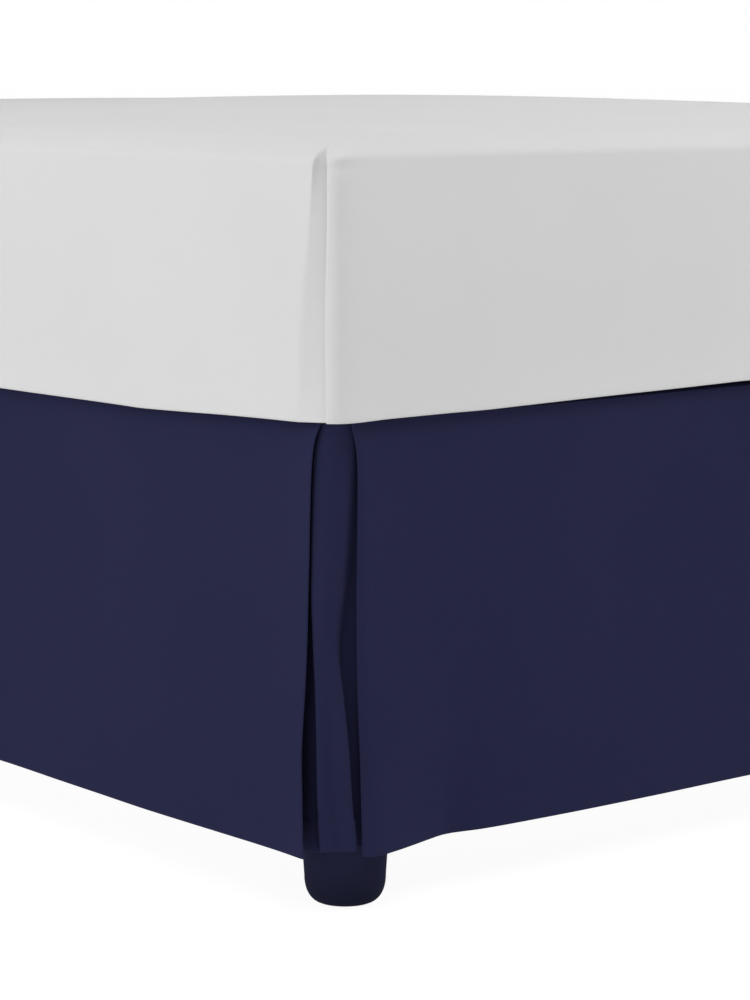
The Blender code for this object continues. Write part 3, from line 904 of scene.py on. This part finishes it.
def stitching_tree():
    """Short rounded stitches in a row along each line that comes in."""
    sizes = dict.fromkeys(("Stitch length", "Gap", "Thread radius"), "NodeSocketFloat")
    tree, given, result = nodes_tree("stitching", {**sizes, "Thread": "NodeSocketMaterial"})
    length, radius = given["Stitch length"], given["Thread radius"]
    line = add_node(tree, "GeometryNodeMeshToCurve", {"Mesh": given["Geometry"]})
    pitch = maths(tree, "ADD", length, given["Gap"])
    half = maths(tree, "MULTIPLY", length, 0.5)
    spaced = add_node(tree, "GeometryNodeResampleCurve", {"Curve": line, "Length": pitch}, mode="LENGTH")
    ball = {"Segments": 6, "Rings": 4, "Radius": 1.0}
    run = add_node(tree, "GeometryNodeInputTangent")
    place = add_node(tree, "GeometryNodeInstanceOnPoints", {
        "Points": spaced,
        "Instance": add_node(tree, "GeometryNodeMeshUVSphere", ball),
        "Rotation": add_node(tree, "FunctionNodeAlignRotationToVector", {"Vector": run}, axis="Z"),
        "Scale": add_node(tree, "ShaderNodeCombineXYZ", {"X": radius, "Y": radius, "Z": half}),
    })
    end_tree(tree, place, given["Thread"], result)
    return tree


def thread_finish():
    """Polyester thread, its ply as a fine twisted bump."""
    material, tree, shader = shader_tree("navy_thread")
    place = add_node(tree, "ShaderNodeTexCoord").outputs["Object"]
    set_inputs(tree, shader, {
        "Base Color": THREAD_NAVY,
        "Roughness": 0.7,
        "Specular IOR Level": 0.25,
        "Normal": relief(tree, grain(tree, place, 4000.0, 1.0), 0.3, 0.0001),
    })
    return material


lockstitch = stitching_tree()
thread = thread_finish()
stitch_values = {
    "Stitch length": STITCH_LENGTH,
    "Gap": STITCH_GAP,
    "Thread radius": THREAD_RADIUS,
    "Thread": thread,
}
for panel, outer, normals, depths, node, hemmed_ends in seams:
    hem_row = depths.index(depths[-1] - HEM_DEPTH + STITCH_INSIDE_HEM)
    on_cloth = outer + normals * THREAD_RADIUS * THREAD_STANDS
    across = along_rows(outer)
    margin = SIDE_HEM_DEPTH - STITCH_INSIDE_HEM if hemmed_ends else STITCH_FROM_RAW_END
    first = int(np.searchsorted(across, margin))
    last = int(np.searchsorted(across, across[-1] - margin)) - 1
    paths = [([Vector(p) for p in on_cloth[hem_row, first : last + 1]], False)]
    for column, end in ((first, "start"), (last, "end")):
        if end in hemmed_ends:
            paths.append(([Vector(p) for p in on_cloth[END_STITCH_ROW:hem_row, column]], False))
    stitches_mesh = mesh_by_nodes(f"{panel.name}_stitches", paths, lockstitch, stitch_values)
    stitches = new_piece(f"{panel.name}_stitches", stitches_mesh)
    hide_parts(node)
    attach(panel, "root")
    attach(stitches, "root")

# ------------------------------------------------------------------------------------------------
# The mattress in its white fitted cover. The cover is drawn tight over a padded block, with a soft
# shoulder round the top. At each corner the cloth of the end is folded over the cloth of the side,
# which leaves an upright tuck under a small pointed pocket, and its lower edge sags past the deck.

CORNER_REACH = 0.060
CORNER_POWER = 6.5
EDGE_BELOW_TOP = 0.0136
CROWN = 0.0195
RIDGE_BESIDE = 0.21
RIDGE_SPREAD = 0.6
SHOULDER_RUN = 0.046
SIDE_SHOULDER = 0.021
FOOT_SHOULDER = 0.016
WALL_BULGE = 0.0012
LOWER_SWELL = 0.0045
SWELL_HEIGHT = 0.022
WAVE_HEIGHT = 0.0006
WAVE_SIZE = 0.22
# Where its lower edge sags, the cover hangs further out: fully past the second sag, and fully below
# the first of these shares of the height
HANG_OUT = 0.0012
HANG_SAGS = (0.0, 0.004)
HANG_HEIGHTS = (0.02, 0.10)
# What lies further in than this belongs to the top or the underside, and doesn't bulge
WALL_REACH = 0.02
# The share of the height above which the cover can rise towards its crown
CROWN_FROM = 0.8
# The lower edge of the cover along the side and along the end, by distance from the corner: how far
# it hangs below the deck's top, in millimetres (less than 0 where it stands clear of it)
SIDE_SAG = (
    # along_m, sag
    (0.000, 0.2), (0.044, 1.6), (0.090, 2.4), (0.144, 3.8), (0.198, 5.8), (0.255, 7.6), (0.313, 7.2),
    (0.436, 7.2), (0.700, 5.7), (1.018, 4.7),
)
FOOT_SAG = (
    # along_m, sag
    (0.000, 0.2), (0.050, -1.0), (0.120, -1.1), (0.155, -0.8), (0.196, -1.4), (0.266, -2.4), (0.338, -3.2),
    (0.387, -3.6), (0.463, -4.8), (0.600, -5.0), (0.764, -4.0),
)
# The underside: inset from the wall, and share of the way up to a lower edge that stands clear
UNDER_RINGS = ((0.040, 0.0), (0.028, 0.4), (0.018, 0.8), (0.0110, 0.95), (0.0052, 1.0))
# The last point before the turn: its inset, and how far above the edge it can be
HANG_INSET = 0.0034
HANG_TURN = 0.0012
# The turn of the lower edge: inset from the wall and height above the edge, in millimetres
LOWER_TURN = ((2.6, 0.3), (1.7, 0.0), (0.8, 0.5), (0.25, 1.6), (0.0, 3.4))
# The fold at a corner, by lateral distance from the flap's edge: to the right of it as seen at the
# picture's angle. plain: where the station lies where there is no fold. folded: where it lies in the
# fold. groove: the share of the tuck's depth. lip: the share of the flap's stand. Millimetres.
TUCK = (
    # plain, folded, groove, lip
    (-1.2, -0.9, 1.00, 0.00),
    (-0.8, 0.1, 1.00, 0.00),
    (-0.4, 0.7, 0.95, 0.00),
    (0.0, 0.9, 0.60, 0.00),
    (0.4, 0.6, 0.30, 0.05),
    (0.8, 0.1, 0.10, 0.20),
    (1.2, 0.0, 0.00, 0.40),
    (1.7, 0.7, 0.00, 0.70),
    (2.4, 1.5, 0.00, 0.88),
    (3.6, 2.8, 0.00, 0.96),
    (5.5, 4.9, 0.00, 1.00),
    (8.0, 7.7, 0.00, 1.00),
    (11.0, 11.0, 0.00, 0.94),
)
# By height above the deck: where the flap's edge is, to the right of the corner; how deep the tuck is
# beside it; where its left side starts; how it falls away from there to the edge, sharply (below 1) or
# more and more (above 1); and how far the flap stands out. Millimetres.
TUCK_HEIGHTS = (
    # height, edge, depth, left, fall, stand
    (-12, -7.9, 6.0, -30.0, 0.9, 0.2),
    (20, -7.9, 10.5, -30.0, 0.85, 0.3),
    (36, -8.6, 12.0, -29.5, 0.8, 0.4),
    (67, -9.0, 12.4, -29.0, 0.75, 0.8),
    (99, -8.6, 12.0, -27.5, 0.85, 1.3),
    (123, -8.0, 11.6, -24.6, 0.85, 1.6),
    (142, -7.4, 11.4, -22.6, 0.88, 1.8),
    (148, -7.3, 11.4, -22.3, 0.88, 2.3),
    (154, -7.2, 11.5, -22.0, 0.88, 1.8),
    (160, -7.1, 11.7, -21.7, 0.86, 2.4),
    (178, -7.1, 12.4, -20.6, 0.8, 2.4),
    (190, -7.1, 13.0, -19.9, 0.68, 2.7),
    (194, -7.15, 13.3, -19.7, 0.62, 2.8),
    (197, -7.2, 13.6, -19.4, 0.58, 2.0),
    (202, -7.5, 13.9, -19.3, 0.55, 0.3),
    (204, -7.6, 14.0, -19.2, 0.54, 0.3),
    (209, -8.2, 13.0, -18.8, 0.54, 1.5),
    (213, -9.2, 10.0, -18.2, 0.54, 0.9),
    (216, -10.6, 6.0, -17.2, 0.55, 0.6),
    (218, -11.6, 2.4, -15.8, 0.7, 0.3),
    (220, -12.0, 0.0, -15.0, 1.0, 0.0),
)
TUCK_OPENS = 3.5
PLAIN_EDGE = -8.0
UNDER_HEIGHT = 20.0
UNFOLD = (1.0, 12.0)
UNDER_EASE = (0.0026, 0.0180)
WALL_SHARE = 203.5
EDGE_EASE = (1.5, 20.0)
SHOULDER_TURN = (-12, 6)
FINE_REACH = 0.32
FINE_STEP = 0.010
SIDE_STATIONS = 15
END_STATIONS = 11
CORNER_SAMPLES = 2001
PLAIN_LATERALS = (
    -38, -35, -32, -29.5, -27, -25, -23.4, -22.2, -21.3, -20.6, -20, -19.4, -18.8, -18.1, -17.2, -16,
    -14.5, -13, -11.5, -10.2,
)
# Past the flap: lateral distance from the corner, and the share of the flap's stand
FAR_LATERALS = (
    (5.5, 0.84), (8, 0.74), (11, 0.60), (14.5, 0.44), (18, 0.30), (22, 0.18), (26, 0.09), (31, 0.03),
    (36, 0), (41, 0),
)
WALL_ROWS = (
    5.5, 9, 15, 23, 32, 42, 54, 66, 78, 90, 102, 114, 126, 136, 142, 148, 154, 160, 167, 173, 178, 183,
    187, 190, 193, 195.5, 197.7, 199.6, 201.4, 202.8,
)
SHOULDER_INSETS = (
    0.0, 0.12, 0.4, 0.9, 1.6, 2.6, 3.7, 5.0, 6.5, 8.2, 10.2, 12.5, 15.5, 19, 23, 28, 34, 40, 46,
)
TOP_SCALES = (0.98, 0.95, 0.91, 0.86, 0.80, 0.72, 0.62, 0.50, 0.36, 0.20, 0.08)
BOTTOM_SCALES = (0.15, 0.5, 0.85)
# A face whose normal stands up more than this counts as flat
FLAT_SLOPE = 0.75
COVER_WHITE = (0.575, 0.575, 0.575, 1)
COVER_SHADE = (0.555, 0.555, 0.558, 1)

cover_low, cover_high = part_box("mattress")
cover_half_x = (cover_high.x - cover_low.x) / 2
cover_half_y = (cover_high.y - cover_low.y) / 2
cover_middle_y = (cover_high.y + cover_low.y) / 2
cover_edge_top = cover_high.z - EDGE_BELOW_TOP
cover_height_mm = 1000 * (cover_edge_top - cover_low.z)


def corner_at(angle, inset):
    """(distance in from the side face, distance in from the end face) of a point of the corner."""
    reach = CORNER_REACH - inset
    power = 2 / CORNER_POWER
    return np.stack([
        CORNER_REACH - reach * np.cos(angle) ** power,
        CORNER_REACH - reach * np.sin(angle) ** power,
    ], axis=-1)


corner_angles = np.radians(90) * np.linspace(0, 1, CORNER_SAMPLES)
corner_line = corner_at(corner_angles, 0.0)
corner_laterals = 1000 * (corner_line[:, 0] * math.sin(view_yaw) - corner_line[:, 1] * math.cos(view_yaw))


def corner_angle(lateral):
    return np.interp(lateral, corner_laterals, corner_angles)


def corner_normal(angle):
    """The way out of the corner there, as (from the side face, from the end face)."""
    power = 2 - 2 / CORNER_POWER
    out = -np.array([math.cos(angle) ** power + 1e-9, math.sin(angle) ** power + 1e-9])
    return out / np.linalg.norm(out)


def quarter_stations():
    """Stations round a quarter of the mattress, from the middle of its side to the middle of its end.
    Each is ("side", distance from the end), ("corner", row of the tuck or lateral) or ("end", ...)."""
    fine = int((FINE_REACH - CORNER_REACH) / FINE_STEP)
    stations = [("side", d) for d in np.linspace(cover_half_y, FINE_REACH, SIDE_STATIONS)[:-1]]
    stations += [("side", d) for d in np.linspace(FINE_REACH, CORNER_REACH, fine + 1)]
    stations += [("corner", (lateral, lateral, None, 0.0)) for lateral in PLAIN_LATERALS]
    for plain, folded, groove, lip in TUCK:
        stations.append(("corner", (PLAIN_EDGE + plain, PLAIN_EDGE + folded, groove, lip)))
    stations += [("corner", (lateral, lateral, 0.0, lip)) for lateral, lip in FAR_LATERALS]
    stations += [("end", d) for d in np.linspace(CORNER_REACH, FINE_REACH, fine + 1)]
    stations += [("end", d) for d in np.linspace(FINE_REACH, cover_half_x, END_STATIONS)[1:]]
    return stations


def table_at(table, value):
    """The table's other columns at this value of its first one."""
    rows = np.array(table)
    return [np.interp(value, rows[:, 0], rows[:, i]) for i in range(1, rows.shape[1])]


def station_place(station, inset, height_mm):
    """(in from the side face, in from the end face) of a station, with the tuck at this height."""
    kind, what = station
    if kind == "side":
        return np.array([inset, what])
    if kind == "end":
        return np.array([what, inset])
    plain, folded, groove, lip = what
    edge, depth, left, fall, stand = table_at(TUCK_HEIGHTS, height_mm)
    open_share = soft_step(depth, 0.0, TUCK_OPENS)
    if height_mm < UNDER_HEIGHT:
        open_share *= 1 - soft_step(inset, *UNDER_EASE)
        depth *= open_share
    lateral = plain + (folded - plain) * open_share * soft_step(height_mm, *UNFOLD)
    lateral += (edge - PLAIN_EDGE) * (1 - soft_step(abs(plain - PLAIN_EDGE), *EDGE_EASE))
    if groove is None:
        groove = min(1.0, max(0.0, (lateral - left) / (edge - 1 - left))) ** fall
    angle = corner_angle(lateral)
    out = (-groove * depth + lip * stand * open_share) / 1000
    return corner_at(angle, inset) + corner_normal(angle) * out


def station_sag(station):
    """How far the cover's lower edge hangs below the deck's top there, round the corner by angle."""
    kind, what = station
    beside, past, end_share = what, 0.0, 0.0
    if kind == "end":
        beside, past, end_share = 0.0, what, 1.0
    if kind == "corner":
        angle = corner_angle(what[0])
        past, beside = corner_at(angle, 0.0)
        end_share = angle / math.radians(90)
    side_sag, end_sag = table_at(SIDE_SAG, beside)[0], table_at(FOOT_SAG, past)[0]
    return (side_sag * (1 - end_share) + end_sag * end_share) / 1000


def station_shoulder(station):
    """How deep the shoulder is there."""
    kind, what = station
    end_share = soft_step(what[0], *SHOULDER_TURN) if kind == "corner" else float(kind == "end")
    return SIDE_SHOULDER + (FOOT_SHOULDER - SIDE_SHOULDER) * end_share


def cover_rings(station):
    """The cover's profile at a station, from the bottom to the top, as (inset, height) in metres above
    the deck. The first and last rings lie flat, inside the lower turn and the shoulder."""
    edge = -station_sag(station)
    rise = max(edge, 0.0)
    rings = [(inset, share * rise) for inset, share in UNDER_RINGS]
    rings.append((HANG_INSET, min(rise, edge + HANG_TURN)))
    rings += [(inset / 1000, edge + height / 1000) for inset, height in LOWER_TURN]
    foot = edge + LOWER_TURN[-1][1] / 1000
    shoulder = station_shoulder(station)
    wall_top = cover_height_mm / 1000 - shoulder
    rings += [(0.0, foot + (wall_top - foot) * (row / WALL_SHARE)) for row in WALL_ROWS]
    for inset in SHOULDER_INSETS:
        across = 1 - inset / 1000 / SHOULDER_RUN
        rings.append((inset / 1000, wall_top + shoulder * math.sqrt(max(0, 1 - across * across))))
    return rings


def crown_at(x, y):
    """How far the top stands above its edge, most along a line from the split corner to the far one."""
    across = 1 - min(1, abs(x) / cover_half_x) ** 2
    along = 1 - min(1, abs(y) / cover_half_y) ** 2
    beside = x * math.sin(view_yaw) - y * math.cos(view_yaw) - RIDGE_BESIDE
    return CROWN * math.sqrt(across * along) * math.exp(-((beside / RIDGE_SPREAD) ** 2))


def wall_swell(share):
    """0 at the deck and at the top edge, and 1 halfway up."""
    return math.sin(math.pi * min(1, max(0, share)))


def cover_column(station, mirror_x, mirror_y):
    """The points of one station from bottom to top. Under the cover the padding is a little uneven."""
    out = Vector((-1, 0, 0)) if station[0] == "side" else Vector((0, -1, 0))
    if station[0] == "corner":
        out = Vector((*corner_normal(corner_angle(station[1][0])), 0))
    sag = station_sag(station)
    points = []
    for inset, height in cover_rings(station):
        in_x, in_y = station_place(station, inset, 1000 * height)
        point = Vector((in_x - cover_half_x, in_y - cover_half_y, cover_low.z + height))
        share = height / (cover_height_mm / 1000)
        if inset < WALL_REACH:
            hang = HANG_OUT * soft_step(sag, *HANG_SAGS) * (1 - soft_step(share, *HANG_HEIGHTS))
            swell = LOWER_SWELL * math.exp(-max(0, height + sag) / SWELL_HEIGHT)
            point += out * (WALL_BULGE * wall_swell(share) + hang + swell)
        padding = noise.noise(Vector((mirror_x * point.x, mirror_y * point.y, point.z)) / WAVE_SIZE)
        point += out * (WAVE_HEIGHT * padding * wall_swell(share))
        if share > CROWN_FROM:
            point.z += crown_at(point.x, point.y) * soft_step(inset, 0.0, SHOULDER_RUN)
        points.append(Vector((mirror_x * point.x, mirror_y * point.y + cover_middle_y, point.z)))
    return points


def cover_mesh():
    """The whole cover: a quarter's stations mirrored all round, closed above and below."""
    quarter = quarter_stations()
    columns = []
    for mirror_x, mirror_y in ((1, 1), (-1, 1), (-1, -1), (1, -1)):
        part = quarter if mirror_x * mirror_y > 0 else quarter[::-1]
        columns += [cover_column(station, mirror_x, mirror_y) for station in part[:-1]]
    rings = [list(ring) for ring in zip(*columns)]
    middle = Vector((0, cover_middle_y, 0))
    under, top = [], []
    for scale in BOTTOM_SCALES:
        under.append([middle + (p - middle) * scale for p in rings[0]])
        for p in under[-1]:
            p.z = cover_low.z
    for scale in TOP_SCALES:
        top.append([middle + (p - middle) * scale for p in rings[-1]])
        for p in top[-1]:
            p.z = cover_edge_top + crown_at(p.x, p.y - cover_middle_y)

    bm = bmesh.new()
    layers = [[bm.verts.new(p) for p in ring] for ring in under + rings + top]
    for lower_ring, upper_ring in zip(layers, layers[1:]):
        for i in range(len(lower_ring)):
            j = (i + 1) % len(lower_ring)
            bm.faces.new((lower_ring[i], lower_ring[j], upper_ring[j], upper_ring[i]))
    for ring, height in ((layers[0], cover_low.z), (layers[-1], cover_edge_top + crown_at(0, 0))):
        pole = bm.verts.new((0, cover_middle_y, height))
        for i in range(len(ring)):
            bm.faces.new((pole, ring[i], ring[(i + 1) % len(ring)]))
    bmesh.ops.recalc_face_normals(bm, faces=bm.faces)

    # The flat cloth: round the wall by the length of the edge, on top and below by the place
    cloth = bm.loops.layers.uv.new("cloth")
    wall = layers[len(BOTTOM_SCALES) + len(UNDER_RINGS) + len(LOWER_TURN) + 2]
    round_edge = [0.0]
    for a, b in zip(wall, wall[1:] + wall[:1]):
        round_edge.append(round_edge[-1] + (a.co - b.co).length)
    number = {vert: i for ring in layers for i, vert in enumerate(ring)}
    for face in bm.faces:
        flat = abs(face.normal.z) > FLAT_SLOPE
        wraps = not flat and {number[corner.vert] for corner in face.loops} == {0, len(wall) - 1}
        for corner in face.loops:
            if flat:
                corner[cloth].uv = corner.vert.co.xy
                continue
            i = number[corner.vert]
            corner[cloth].uv = (round_edge[len(wall) if wraps and i == 0 else i], corner.vert.co.z)
    return finish_mesh(bm, "mattress_cover", 60)


cover_cloth = plain_weave("cover_cloth", COVER_WHITE, COVER_SHADE, 0.18, 0.1, 0.02)
mattress_cover = new_piece("mattress_cover", cover_mesh(), cover_cloth)
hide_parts("mattress")
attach(mattress_cover, "root")
